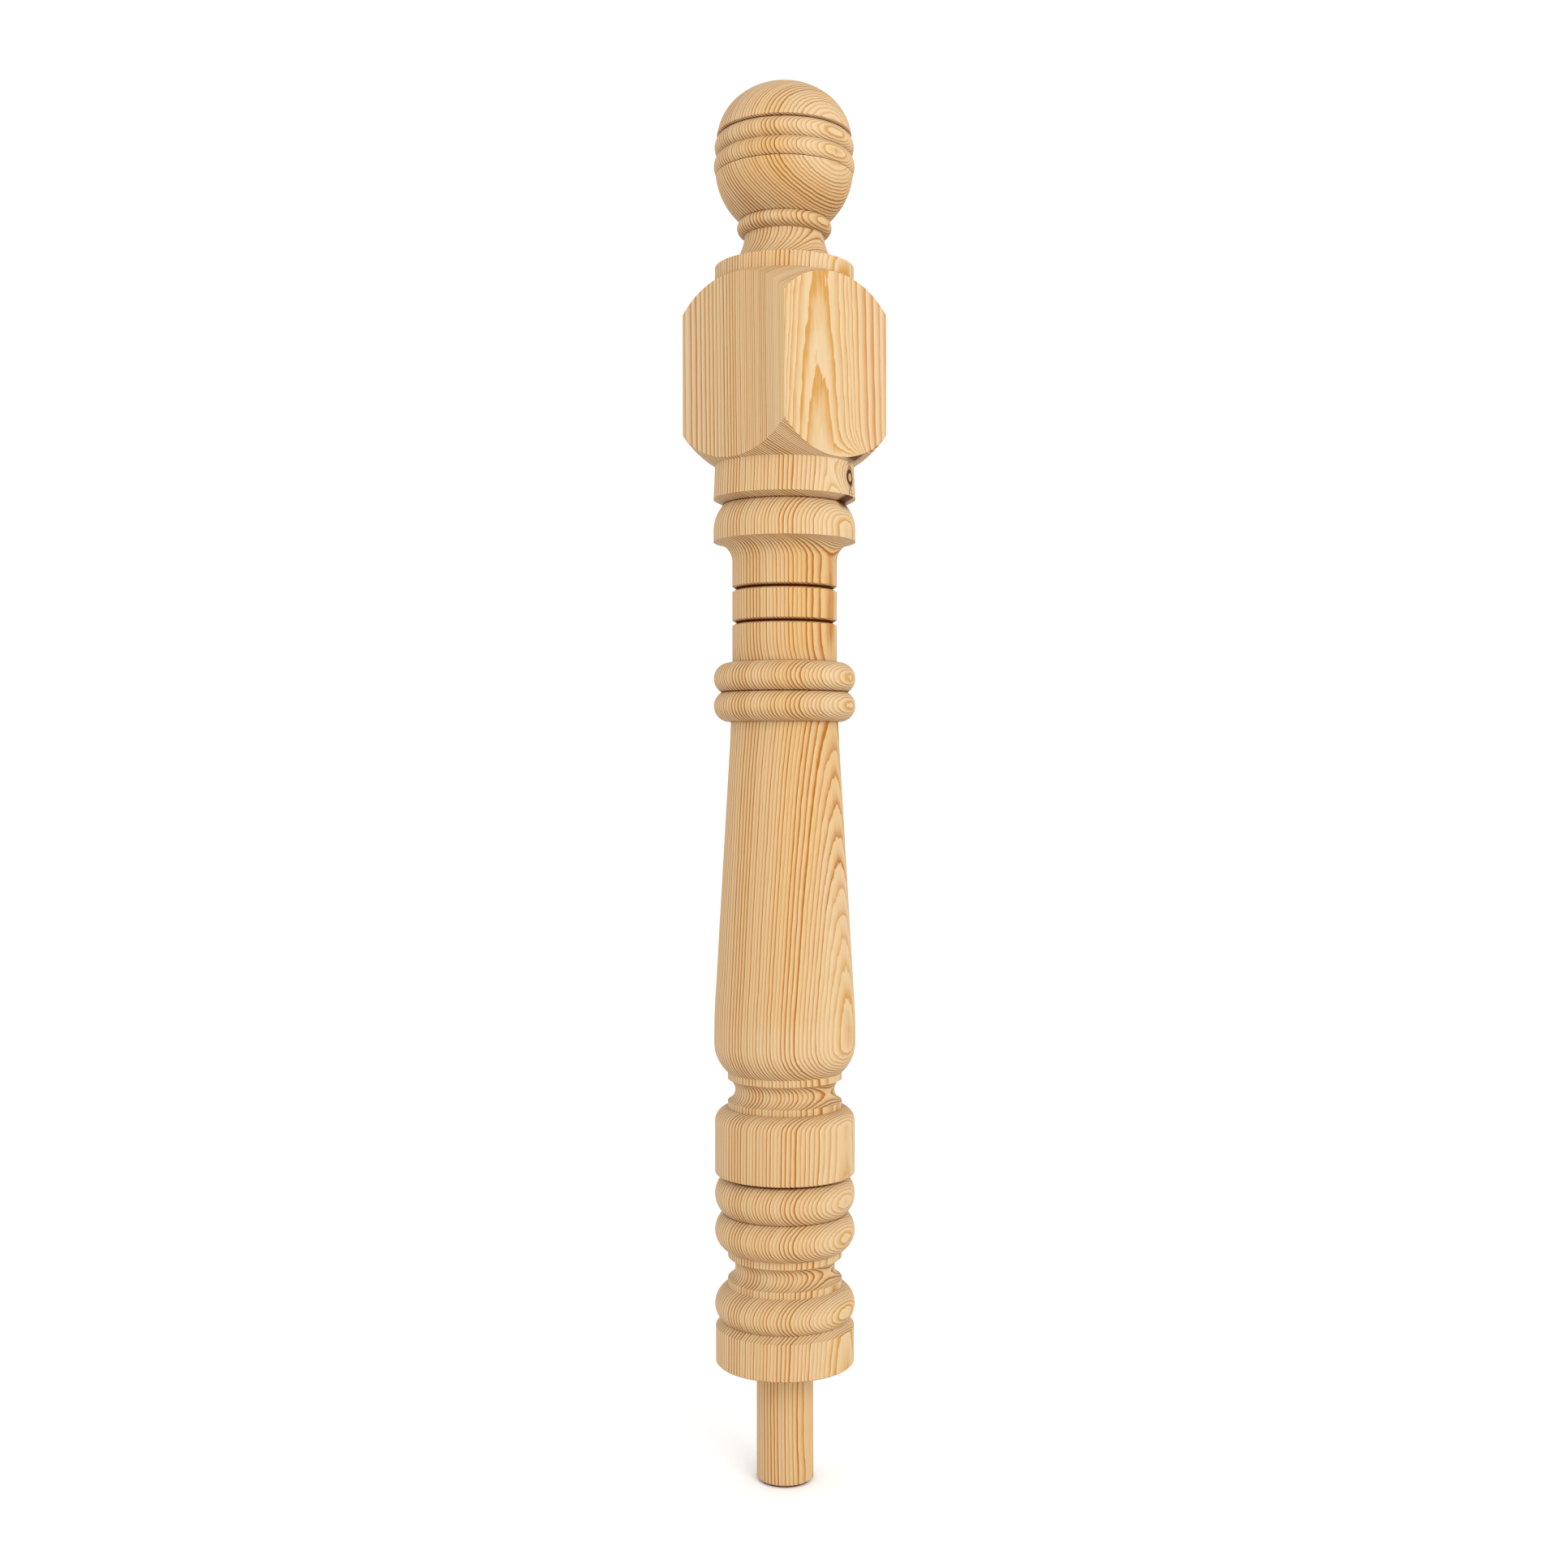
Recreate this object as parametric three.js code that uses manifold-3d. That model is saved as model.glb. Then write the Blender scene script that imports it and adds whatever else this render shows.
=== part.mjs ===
// A turned newel post: one length of square softwood with a peg, a moulded base, a vase-shaped shaft,
// a square block that takes the handrail, and a ball finial.
// Millimetres, +Z up. The origin is on the axis at the seat, the underside of the base plate, so the peg
// hangs below it. The block's faces look along X and Y.

import * as THREE from 'three';
import { mergeVertices } from 'three/addons/utils/BufferGeometryUtils.js';
import Module from 'manifold-3d';

// The blank. Every depth below is cut inwards from the turned radius that the blank allows.
const blockSide = 90;
const turningAllowance = 0.6;

// Peg
const pegDiameter = 35.6;
const pegLength = 74.5;
const pegChamfer = 1;

// Base: plate, torus, and the fillets and scotias that part the base's members
const plateDepth = 1;
const basePlateHeight = 23;
const baseConeRise = 4.2;
const baseGrooveDepth = 4.6;
const baseMemberDepth = 0.5;
const baseTorusHeight = 21.2;
const filletDepth = 8.6;
const filletHeight = 4.1;
const scotiaHeight = 13.8;
const scotiaDepth = 4.6;
const torusHeight = 23.5;
const torusGrooveDepth = 5.9;

// Drum above the two toruses
const drumUndersideRise = 1;
const drumLipRadius = 1.3;
const drumHeight = 31.4;
const drumShoulderRise = 8.7;

// Vase-shaped shaft
const vaseFootRise = 19;
const vaseHipRise = 35;
const vaseHipDrop = 1.3;
const shaftTaperRise = 150;
const shaftTaperDrop = 8.8;
const shaftTopRise = 15.2;
const shaftTopDrop = 0.6;

// Double bead
const beadHeight = 18.4;
const beadGrooveDepth = 4.9;

// Necking with its two cut rings
const neckDepth = 11.7;
const lowerNeckHeight = 23.1;
const ringCutHeight = 3.4;
const ringCutDepth = 3;
const neckBandHeight = 17.7;
const upperNeckHeight = 15.6;

// Capital and collar
const coveRise = 12.2;
const capitalRimHeight = 7;
const capitalRoundRise = 16.3;
const capitalGrooveDepth = 6.4;
const collarUndersideRise = 3.2;
const collarHeight = 21;

// Square block
const blockHeight = 113.4;
const shoulderRise = 19.9;
const shoulderRadius = 65;
const blankMargin = 0.4;

// Top plate and the neck of the finial
const topPlateHeight = 9;
const topPlateSlopeRise = 1.2;
const finialFilletHeight = 3.1;
const finialNeckDepth = 19.5;
const finialCoveRise = 13.4;
const finialNeckHeight = 1.9;
const astragalHeight = 9.7;
const astragalProjection = 4.7;
const astragalTopProjection = 2.5;

// Ball finial: lower half, two beads round its widest part, and a cap that steps out over them
const ballRise = 28.5;
const ballTopDepth = 1.6;
const ballBeadHeight = 12;
const lowerBallBeadDepth = 0.4;
const ballBeadGrooveDepth = 2.2;
const upperBallBeadDepth = 0.9;
const capGrooveDepth = 3.2;
const capStepRise = 1.1;
const capStepDepth = 2.4;
const capShoulderRise = 21.5;
const capShoulderRadius = 34;
const crownRadius = 30;
const crownRise = 10.8;

// Fineness of the facets
const facetsRound = 36;
const largeSteps = 5;
const smallSteps = 4;
const mergeTolerance = 0.001;
const blankOverrun = 10;

// Radii that follow from the sizes above
const fullRadius = blockSide / 2 - turningAllowance;
const plateRadius = fullRadius - plateDepth;
const baseRadius = fullRadius - baseMemberDepth;
const filletRadius = fullRadius - filletDepth;
const scotiaRadius = filletRadius - scotiaDepth;
const torusGrooveRadius = fullRadius - torusGrooveDepth;
const neckRadius = fullRadius - neckDepth;
const finialNeckRadius = fullRadius - finialNeckDepth;
const blankRadius = blockSide / Math.SQRT2 + blankMargin;

// The outline is drawn upwards from the peg's tip. Each point holds a radius and a height.
const outline = [new THREE.Vector2(0, -pegLength)];

function lineTo(radius, rise) {
  const from = outline[outline.length - 1];
  outline.push(new THREE.Vector2(radius, from.y + rise));
}

// Follows a circle from the last point to the end point, leftwards round its centre or rightwards.
function followCircle(centre, end, leftwards, steps) {
  const from = outline[outline.length - 1];
  const startAngle = Math.atan2(from.y - centre.y, from.x - centre.x);
  const endAngle = Math.atan2(end.y - centre.y, end.x - centre.x);
  const circleRadius = centre.distanceTo(end);
  const fullTurn = 2 * Math.PI;
  let sweep = (endAngle - startAngle + fullTurn) % fullTurn;
  if (!leftwards) {
    sweep -= fullTurn;
  }
  for (let step = 1; step < steps; step += 1) {
    const angle = startAngle + (sweep * step) / steps;
    const x = centre.x + circleRadius * Math.cos(angle);
    const y = centre.y + circleRadius * Math.sin(angle);
    outline.push(new THREE.Vector2(x, y));
  }
  outline.push(end);
}

// A bead or a hollow: the circle through both ends that just reaches the extreme radius.
function roundTo(radius, rise, extremeRadius, steps) {
  const from = outline[outline.length - 1];
  const end = new THREE.Vector2(radius, from.y + rise);
  const startGap = Math.abs(extremeRadius - from.x);
  const endGap = Math.abs(extremeRadius - end.x);
  const difference = endGap - startGap;
  let lowerRise = rise / 2;
  if (Math.abs(difference) > mergeTolerance) {
    const root = Math.sqrt(startGap * endGap * (rise * rise + difference * difference));
    lowerRise = (root - startGap * rise) / difference;
  }
  const upperRise = rise - lowerRise;
  const widerGap = Math.max(startGap, endGap);
  const widerRise = endGap > startGap ? upperRise : lowerRise;
  const circleRadius = (widerRise * widerRise + widerGap * widerGap) / (2 * widerGap);
  const convex = extremeRadius > Math.min(from.x, end.x);
  const centreRadius = convex ? extremeRadius - circleRadius : extremeRadius + circleRadius;
  followCircle(new THREE.Vector2(centreRadius, from.y + lowerRise), end, convex, steps);
}

// An arc of a given radius that bulges outwards.
function arcTo(radius, rise, arcRadius, steps) {
  const from = outline[outline.length - 1];
  const end = new THREE.Vector2(radius, from.y + rise);
  const chord = end.clone().sub(from);
  const halfChord = chord.length() / 2;
  const reach = Math.sqrt(Math.max(arcRadius * arcRadius - halfChord * halfChord, 0));
  const inwards = new THREE.Vector2(-chord.y, chord.x).normalize();
  const centre = from.clone().add(end).multiplyScalar(0.5).addScaledVector(inwards, reach);
  followCircle(centre, end, true, steps);
}

function drawPeg() {
  const pegRadius = pegDiameter / 2;
  lineTo(pegRadius - pegChamfer, 0);
  lineTo(pegRadius, pegChamfer);
  lineTo(pegRadius, pegLength - pegChamfer);
}

function drawBase() {
  lineTo(plateRadius, 0);
  lineTo(plateRadius, basePlateHeight);
  lineTo(fullRadius - baseGrooveDepth, baseConeRise);
  roundTo(filletRadius, baseTorusHeight, baseRadius, largeSteps);
  drawScotia();
  roundTo(torusGrooveRadius, torusHeight, baseRadius, largeSteps);
  roundTo(torusGrooveRadius, torusHeight, baseRadius, largeSteps);
}

// A scotia, the hollow between two members, with a fillet below and above it.
function drawScotia() {
  lineTo(filletRadius, filletHeight);
  roundTo(filletRadius, scotiaHeight, scotiaRadius, largeSteps);
  lineTo(filletRadius, filletHeight);
}

function drawDrum() {
  lineTo(baseRadius - drumLipRadius, drumUndersideRise);
  roundTo(baseRadius, drumLipRadius, baseRadius, 2);
  lineTo(baseRadius, drumHeight);
  roundTo(filletRadius, drumShoulderRise, baseRadius, smallSteps);
  drawScotia();
}

function drawShaft() {
  const hipRadius = fullRadius - vaseHipDrop;
  const taperTopRadius = hipRadius - shaftTaperDrop;
  const shaftTopRadius = taperTopRadius - shaftTopDrop;
  roundTo(fullRadius, vaseFootRise, fullRadius, largeSteps);
  roundTo(hipRadius, vaseHipRise, fullRadius, smallSteps);
  lineTo(taperTopRadius, shaftTaperRise);
  lineTo(shaftTopRadius, shaftTopRise);
}

function drawDoubleBead() {
  roundTo(fullRadius - beadGrooveDepth, beadHeight, fullRadius, largeSteps);
  roundTo(neckRadius, beadHeight, fullRadius, largeSteps);
}

// A ring cut into the neck with the point of a chisel.
function drawRingCut() {
  lineTo(neckRadius - ringCutDepth, ringCutHeight / 2);
  lineTo(neckRadius, ringCutHeight / 2);
}

function drawNecking() {
  lineTo(neckRadius, lowerNeckHeight);
  drawRingCut();
  lineTo(neckRadius, neckBandHeight);
  drawRingCut();
  lineTo(neckRadius, upperNeckHeight);
}

function drawCapital() {
  roundTo(fullRadius, coveRise, neckRadius, largeSteps);
  lineTo(fullRadius, capitalRimHeight);
  roundTo(fullRadius - capitalGrooveDepth, capitalRoundRise, fullRadius, largeSteps);
  lineTo(fullRadius, collarUndersideRise);
  lineTo(plateRadius, collarHeight);
}

// The block's round shoulders run out past its corners, so that the square blank cuts them off.
function drawBlock() {
  arcTo(blankRadius, shoulderRise, shoulderRadius, smallSteps);
  lineTo(blankRadius, blockHeight - 2 * shoulderRise);
  arcTo(plateRadius, shoulderRise, shoulderRadius, smallSteps);
}

function drawFinialNeck() {
  lineTo(plateRadius, topPlateHeight);
  lineTo(filletRadius, topPlateSlopeRise);
  lineTo(filletRadius, finialFilletHeight);
  roundTo(finialNeckRadius, finialCoveRise, finialNeckRadius, largeSteps);
  lineTo(finialNeckRadius, finialNeckHeight);
  const astragalRadius = finialNeckRadius + astragalProjection;
  roundTo(finialNeckRadius + astragalTopProjection, astragalHeight, astragalRadius, smallSteps);
}

function drawBall() {
  arcTo(fullRadius - ballTopDepth, ballRise, fullRadius, largeSteps);
  roundTo(fullRadius - ballBeadGrooveDepth, ballBeadHeight, fullRadius - lowerBallBeadDepth, smallSteps);
  roundTo(fullRadius - capGrooveDepth, ballBeadHeight, fullRadius - upperBallBeadDepth, smallSteps);
  lineTo(fullRadius - capStepDepth, capStepRise);
  arcTo(crownRadius, capShoulderRise, capShoulderRadius, smallSteps);
  const crownArcRadius = (crownRadius * crownRadius + crownRise * crownRise) / (2 * crownRise);
  arcTo(0, crownRise, crownArcRadius, smallSteps);
}

// Turns a closed geometry into a solid: shared corners become one, and faces without area are dropped.
function toSolid(manifold, geometry) {
  const bare = geometry.clone();
  bare.deleteAttribute('normal');
  bare.deleteAttribute('uv');
  const merged = mergeVertices(bare, mergeTolerance);
  const corners = merged.index.array;
  const kept = [];
  for (let first = 0; first < corners.length; first += 3) {
    const [a, b, c] = corners.slice(first, first + 3);
    if (a !== b && b !== c && c !== a) {
      kept.push(a, b, c);
    }
  }
  const mesh = new manifold.Mesh({
    numProp: 3,
    vertProperties: new Float32Array(merged.attributes.position.array),
    triVerts: new Uint32Array(kept),
  });
  return new manifold.Manifold(mesh);
}

function toGeometry(solid) {
  const mesh = solid.getMesh();
  const geometry = new THREE.BufferGeometry();
  geometry.setAttribute('position', new THREE.BufferAttribute(mesh.vertProperties, 3));
  geometry.setIndex(new THREE.BufferAttribute(mesh.triVerts, 1));
  geometry.computeVertexNormals();
  return geometry;
}

async function turnedPost() {
  drawPeg();
  drawBase();
  drawDrum();
  drawShaft();
  drawDoubleBead();
  drawNecking();
  drawCapital();
  drawBlock();
  drawFinialNeck();
  drawBall();

  const manifold = await Module();
  manifold.setup();
  const turned = new THREE.LatheGeometry(outline, facetsRound);
  turned.rotateX(Math.PI / 2);
  const crownHeight = outline[outline.length - 1].y;
  const blank = new THREE.BoxGeometry(blockSide, blockSide, crownHeight + pegLength + 2 * blankOverrun);
  blank.translate(0, 0, (crownHeight - pegLength) / 2);
  return toGeometry(toSolid(manifold, turned).intersect(toSolid(manifold, blank)));
}

const pine = new THREE.MeshStandardMaterial({ color: 0xe3bd88, roughness: 0.55, metalness: 0 });

const newelPost = new THREE.Mesh(await turnedPost(), pine);
newelPost.name = 'newel_post';

const post = new THREE.Group();
post.add(newelPost);

export default post;
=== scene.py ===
import math

import bmesh
import bpy
import numpy as np
from mathutils import Euler, Matrix, Vector


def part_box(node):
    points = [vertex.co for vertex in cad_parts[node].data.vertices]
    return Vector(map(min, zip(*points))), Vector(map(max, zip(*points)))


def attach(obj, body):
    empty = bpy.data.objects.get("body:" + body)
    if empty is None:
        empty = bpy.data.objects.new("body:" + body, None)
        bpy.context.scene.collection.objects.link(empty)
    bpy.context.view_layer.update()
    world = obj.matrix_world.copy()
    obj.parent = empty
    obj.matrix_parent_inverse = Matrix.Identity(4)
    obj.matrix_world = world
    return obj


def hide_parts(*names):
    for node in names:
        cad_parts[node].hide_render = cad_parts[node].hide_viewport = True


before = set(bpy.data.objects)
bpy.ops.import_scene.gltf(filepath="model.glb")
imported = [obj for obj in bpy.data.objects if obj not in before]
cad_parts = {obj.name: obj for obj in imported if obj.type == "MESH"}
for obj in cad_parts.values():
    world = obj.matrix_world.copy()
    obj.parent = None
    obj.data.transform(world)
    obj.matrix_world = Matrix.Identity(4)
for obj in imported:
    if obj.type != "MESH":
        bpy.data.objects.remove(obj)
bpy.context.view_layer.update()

MM = 0.001

# The blank. All sizes of the post are in millimetres, and most radii are a depth cut into the turned radius.
BLOCK_SIDE = 90.0
TURNING_ALLOWANCE = 0.6
FULL_RADIUS = BLOCK_SIDE / 2 - TURNING_ALLOWANCE

# Peg and base plate
PEG_RADIUS = 17.8
PEG_LENGTH = 74.5
PEG_CHAMFER = 2.0
PLATE_RADIUS = FULL_RADIUS - 1.0
PLATE_CHAMFER = 0.8
BASE_PLATE_HEIGHT = 23.0

# Toruses, and the fillets and scotias that part them
BASE_RADIUS = FULL_RADIUS - 0.5
BASE_CONE_RISE = 4.2
BASE_CONE_RADIUS = FULL_RADIUS - 4.6
BASE_TORUS_HEIGHT = 21.2
FILLET_RADIUS = FULL_RADIUS - 8.6
FILLET_HEIGHT = 4.1
SCOTIA_RADIUS = FILLET_RADIUS - 4.6
SCOTIA_HEIGHT = 13.8
TORUS_HEIGHT = 23.5
TORUS_GROOVE_RADIUS = FULL_RADIUS - 5.9

# Drum
DRUM_UNDERSIDE_RISE = 1.0
DRUM_LIP = 1.3
DRUM_HEIGHT = 31.4
DRUM_SHOULDER_RISE = 8.7

# Vase-shaped shaft
SHAFT_FOOT_RISE = 19.0
SHAFT_HIP_RISE = 35.0
SHAFT_HIP_RADIUS = FULL_RADIUS - 1.3
SHAFT_TAPER_RISE = 150.0
SHAFT_TAPER_TOP_RADIUS = SHAFT_HIP_RADIUS - 8.8
SHAFT_TOP_RISE = 15.2
SHAFT_TOP_RADIUS = SHAFT_TAPER_TOP_RADIUS - 0.6

# Double bead, and the necking with its two cut rings
BEAD_HEIGHT = 18.4
BEAD_GROOVE_RADIUS = FULL_RADIUS - 4.9
NECK_RADIUS = FULL_RADIUS - 11.7
LOWER_NECK_HEIGHT = 23.1
RING_CUT_HEIGHT = 3.4
RING_CUT_RADIUS = NECK_RADIUS - 3.0
NECK_BAND_HEIGHT = 17.7
UPPER_NECK_HEIGHT = 15.6

# Capital and collar
COVE_RISE = 12.2
CAPITAL_RIM_HEIGHT = 7.0
CAPITAL_ROUND_RISE = 16.3
CAPITAL_GROOVE_RADIUS = FULL_RADIUS - 6.4
COLLAR_UNDERSIDE_RISE = 3.2
COLLAR_HEIGHT = 21.0

# Square block with its round shoulders
BLOCK_HEIGHT = 113.4
SHOULDER_CURVE = 65.0
SHOULDER_RISE = 19.2
SHOULDER_ROWS = 16
FACE_ROWS = 8

# Top plate and the neck of the finial
TOP_PLATE_HEIGHT = 9.2
FINIAL_FOOT_RADIUS = FILLET_RADIUS - 1.4
FINIAL_FOOT_RISE = 0.1
FINIAL_NECK_RADIUS = FULL_RADIUS - 19.5
FINIAL_COVE_RISE = 19.9
FINIAL_COVE_CURVE = 30.0
ASTRAGAL_HEIGHT = 9.7
ASTRAGAL_RADIUS = FINIAL_NECK_RADIUS + 4.7
ASTRAGAL_TOP_RADIUS = FINIAL_NECK_RADIUS + 2.5

# Ball: lower half, two beads round its widest part, and a cap that steps out over them
BALL_RISE = 27.7
BALL_TOP_RADIUS = FULL_RADIUS - 1.6
BALL_STEP_RISE = 0.2
BALL_STEP_RADIUS = FULL_RADIUS - 2.6
BALL_BEAD_HEIGHT = 12.0
LOWER_BALL_BEAD_RADIUS = FULL_RADIUS - 0.4
BALL_GROOVE_RADIUS = FULL_RADIUS - 3.2
UPPER_BALL_BEAD_RADIUS = FULL_RADIUS - 0.9
CAP_GROOVE_RADIUS = FULL_RADIUS - 4.2
CAP_STEP_RISE = 1.1
CAP_STEP_RADIUS = FULL_RADIUS - 2.4
CAP_SHOULDER_RISE = 21.5
CAP_SHOULDER_CURVE = 34.0
CROWN_RADIUS = 30.0
CROWN_RISE = 10.8
CROWN_CURVE = (CROWN_RADIUS ** 2 + CROWN_RISE ** 2) / (2 * CROWN_RISE)

# Fineness of the mesh
STEP = 1.05
FEWEST_STEPS = 3
SEGMENTS = 192
SHARP_ANGLE = math.radians(24)


class Outline:
    """The post's outline, radius and height in millimetres, drawn upwards from its first point."""

    def __init__(self, radius, height):
        self.points = [(radius, height)]

    def line(self, radius, rise):
        self.points.append((radius, self.points[-1][1] + rise))

    def follow(self, centre, end, leftwards):
        """Goes round a circle from the last point to the end, in steps of about STEP."""
        start = self.points[-1]
        start_angle = math.atan2(start[1] - centre[1], start[0] - centre[0])
        end_angle = math.atan2(end[1] - centre[1], end[0] - centre[0])
        radius = math.dist(centre, end)
        sweep = (end_angle - start_angle) % (2 * math.pi)
        if not leftwards:
            sweep -= 2 * math.pi
        steps = max(FEWEST_STEPS, round(abs(sweep) * radius / STEP))
        for step in range(1, steps):
            angle = start_angle + sweep * step / steps
            across = radius * math.cos(angle)
            up = radius * math.sin(angle)
            self.points.append((centre[0] + across, centre[1] + up))
        self.points.append(end)

    def round(self, radius, rise, extreme):
        """A bead or a hollow: the circle through both ends that just reaches the extreme radius."""
        start_radius, start_height = self.points[-1]
        start_gap = abs(extreme - start_radius)
        end_gap = abs(extreme - radius)
        difference = end_gap - start_gap
        lower_rise = rise / 2
        if abs(difference) > MM:
            root = math.sqrt(start_gap * end_gap * (rise ** 2 + difference ** 2))
            lower_rise = (root - start_gap * rise) / difference
        wider_gap = max(start_gap, end_gap)
        wider_rise = rise - lower_rise if end_gap > start_gap else lower_rise
        circle_radius = (wider_rise ** 2 + wider_gap ** 2) / (2 * wider_gap)
        convex = extreme > min(start_radius, radius)
        centre_radius = extreme - circle_radius if convex else extreme + circle_radius
        centre = (centre_radius, start_height + lower_rise)
        self.follow(centre, (radius, start_height + rise), convex)

    def arc(self, radius, rise, curve, side=1):
        """An arc of a given curve that bulges outwards, or is hollow if its side is -1."""
        start = self.points[-1]
        end = (radius, start[1] + rise)
        across, up = end[0] - start[0], end[1] - start[1]
        chord = math.hypot(across, up)
        reach = side * math.sqrt(max(curve ** 2 - chord ** 2 / 4, 0))
        middle = ((start[0] + end[0]) / 2, (start[1] + end[1]) / 2)
        centre = (middle[0] - up / chord * reach, middle[1] + across / chord * reach)
        self.follow(centre, end, side > 0)


def draw_peg(outline):
    outline.line(PEG_RADIUS - PEG_CHAMFER, 0)
    outline.line(PEG_RADIUS, PEG_CHAMFER)
    outline.line(PEG_RADIUS, PEG_LENGTH - PEG_CHAMFER)


def draw_scotia(outline):
    outline.line(FILLET_RADIUS, FILLET_HEIGHT)
    outline.round(FILLET_RADIUS, SCOTIA_HEIGHT, SCOTIA_RADIUS)
    outline.line(FILLET_RADIUS, FILLET_HEIGHT)


def draw_base(outline):
    outline.line(PLATE_RADIUS - PLATE_CHAMFER, 0)
    outline.line(PLATE_RADIUS, PLATE_CHAMFER)
    outline.line(PLATE_RADIUS, BASE_PLATE_HEIGHT - PLATE_CHAMFER)
    outline.line(BASE_CONE_RADIUS, BASE_CONE_RISE)
    outline.round(FILLET_RADIUS, BASE_TORUS_HEIGHT, BASE_RADIUS)
    draw_scotia(outline)
    outline.round(TORUS_GROOVE_RADIUS, TORUS_HEIGHT, BASE_RADIUS)
    outline.round(TORUS_GROOVE_RADIUS, TORUS_HEIGHT, BASE_RADIUS)


def draw_drum(outline):
    outline.line(BASE_RADIUS - DRUM_LIP, DRUM_UNDERSIDE_RISE)
    outline.round(BASE_RADIUS, DRUM_LIP, BASE_RADIUS)
    outline.line(BASE_RADIUS, DRUM_HEIGHT)
    outline.round(FILLET_RADIUS, DRUM_SHOULDER_RISE, BASE_RADIUS)
    draw_scotia(outline)


def draw_shaft(outline):
    outline.round(FULL_RADIUS, SHAFT_FOOT_RISE, FULL_RADIUS)
    outline.round(SHAFT_HIP_RADIUS, SHAFT_HIP_RISE, FULL_RADIUS)
    outline.line(SHAFT_TAPER_TOP_RADIUS, SHAFT_TAPER_RISE)
    outline.line(SHAFT_TOP_RADIUS, SHAFT_TOP_RISE)


def draw_ring_cut(outline):
    outline.line(RING_CUT_RADIUS, RING_CUT_HEIGHT / 2)
    outline.line(NECK_RADIUS, RING_CUT_HEIGHT / 2)


def draw_necking(outline):
    outline.round(BEAD_GROOVE_RADIUS, BEAD_HEIGHT, FULL_RADIUS)
    outline.round(NECK_RADIUS, BEAD_HEIGHT, FULL_RADIUS)
    outline.line(NECK_RADIUS, LOWER_NECK_HEIGHT)
    draw_ring_cut(outline)
    outline.line(NECK_RADIUS, NECK_BAND_HEIGHT)
    draw_ring_cut(outline)
    outline.line(NECK_RADIUS, UPPER_NECK_HEIGHT)


def draw_capital(outline):
    outline.round(FULL_RADIUS, COVE_RISE, NECK_RADIUS)
    outline.line(FULL_RADIUS, CAPITAL_RIM_HEIGHT)
    outline.round(CAPITAL_GROOVE_RADIUS, CAPITAL_ROUND_RISE, FULL_RADIUS)
    outline.line(FULL_RADIUS, COLLAR_UNDERSIDE_RISE)
    outline.line(PLATE_RADIUS, COLLAR_HEIGHT)


def draw_finial_neck(outline):
    outline.line(PLATE_RADIUS, TOP_PLATE_HEIGHT)
    outline.line(FINIAL_FOOT_RADIUS, FINIAL_FOOT_RISE)
    outline.arc(FINIAL_NECK_RADIUS, FINIAL_COVE_RISE, FINIAL_COVE_CURVE, -1)
    outline.round(ASTRAGAL_TOP_RADIUS, ASTRAGAL_HEIGHT, ASTRAGAL_RADIUS)


def draw_ball(outline):
    outline.arc(BALL_TOP_RADIUS, BALL_RISE, FULL_RADIUS)
    outline.line(BALL_STEP_RADIUS, BALL_STEP_RISE)
    outline.round(BALL_GROOVE_RADIUS, BALL_BEAD_HEIGHT, LOWER_BALL_BEAD_RADIUS)
    outline.round(CAP_GROOVE_RADIUS, BALL_BEAD_HEIGHT, UPPER_BALL_BEAD_RADIUS)
    outline.line(CAP_STEP_RADIUS, CAP_STEP_RISE)
    outline.arc(CROWN_RADIUS, CAP_SHOULDER_RISE, CAP_SHOULDER_CURVE)
    outline.arc(0.0, CROWN_RISE, CROWN_CURVE)


def draw_below_block():
    """From the peg's tip to the top of the collar."""
    outline = Outline(0.0, -PEG_LENGTH)
    draw_peg(outline)
    draw_base(outline)
    draw_drum(outline)
    draw_shaft(outline)
    draw_necking(outline)
    draw_capital(outline)
    return outline.points


def draw_above_block(height):
    """From the underside of the top plate to the crown of the ball."""
    outline = Outline(PLATE_RADIUS, height)
    draw_finial_neck(outline)
    draw_ball(outline)
    return outline.points


def shoulder_height(radius):
    """How far the block's round shoulder has risen above the collar where it reaches a radius."""
    start = np.array([PLATE_RADIUS, 0.0])
    end = np.array([BLOCK_SIDE / math.sqrt(2), SHOULDER_RISE])
    chord = end - start
    length = np.hypot(*chord)
    reach = math.sqrt(SHOULDER_CURVE ** 2 - length ** 2 / 4)
    centre = (start + end) / 2 + np.array([-chord[1], chord[0]]) / length * reach
    return centre[1] - np.sqrt(SHOULDER_CURVE ** 2 - (radius - centre[0]) ** 2)


def block_rows(low, high):
    """The square block's rows of radii and heights, which follow the scalloped edges of its faces."""
    angles = np.arange(SEGMENTS) * 2 * math.pi / SEGMENTS
    square = BLOCK_SIDE / 2 / np.maximum(abs(np.cos(angles)), abs(np.sin(angles)))
    shares = np.linspace(0, 1, SHOULDER_ROWS + 1)[1:]
    widths = [PLATE_RADIUS + share * (square - PLATE_RADIUS) for share in shares]
    bottom = low + shoulder_height(square)
    top = high - shoulder_height(square)
    rows = [(radii, low + shoulder_height(radii)) for radii in widths]
    for share in np.linspace(0, 1, FACE_ROWS + 1)[1:-1]:
        rows.append((square, bottom + share * (top - bottom)))
    rows += [(radii, high - shoulder_height(radii)) for radii in widths[::-1]]
    return rows


def post_rows():
    """The rows of the whole mesh, and the heights of the single corners at its two ends."""
    even = np.ones(SEGMENTS)
    below = draw_below_block()
    block_foot = below[-1][1]
    block_head = block_foot + BLOCK_HEIGHT
    above = draw_above_block(block_head)
    rows = [(radius * even, height * even) for radius, height in below[1:]]
    rows += block_rows(block_foot, block_head)
    rows += [(radius * even, height * even) for radius, height in above[:-1]]
    return rows, below[0][1], above[-1][1]


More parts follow.
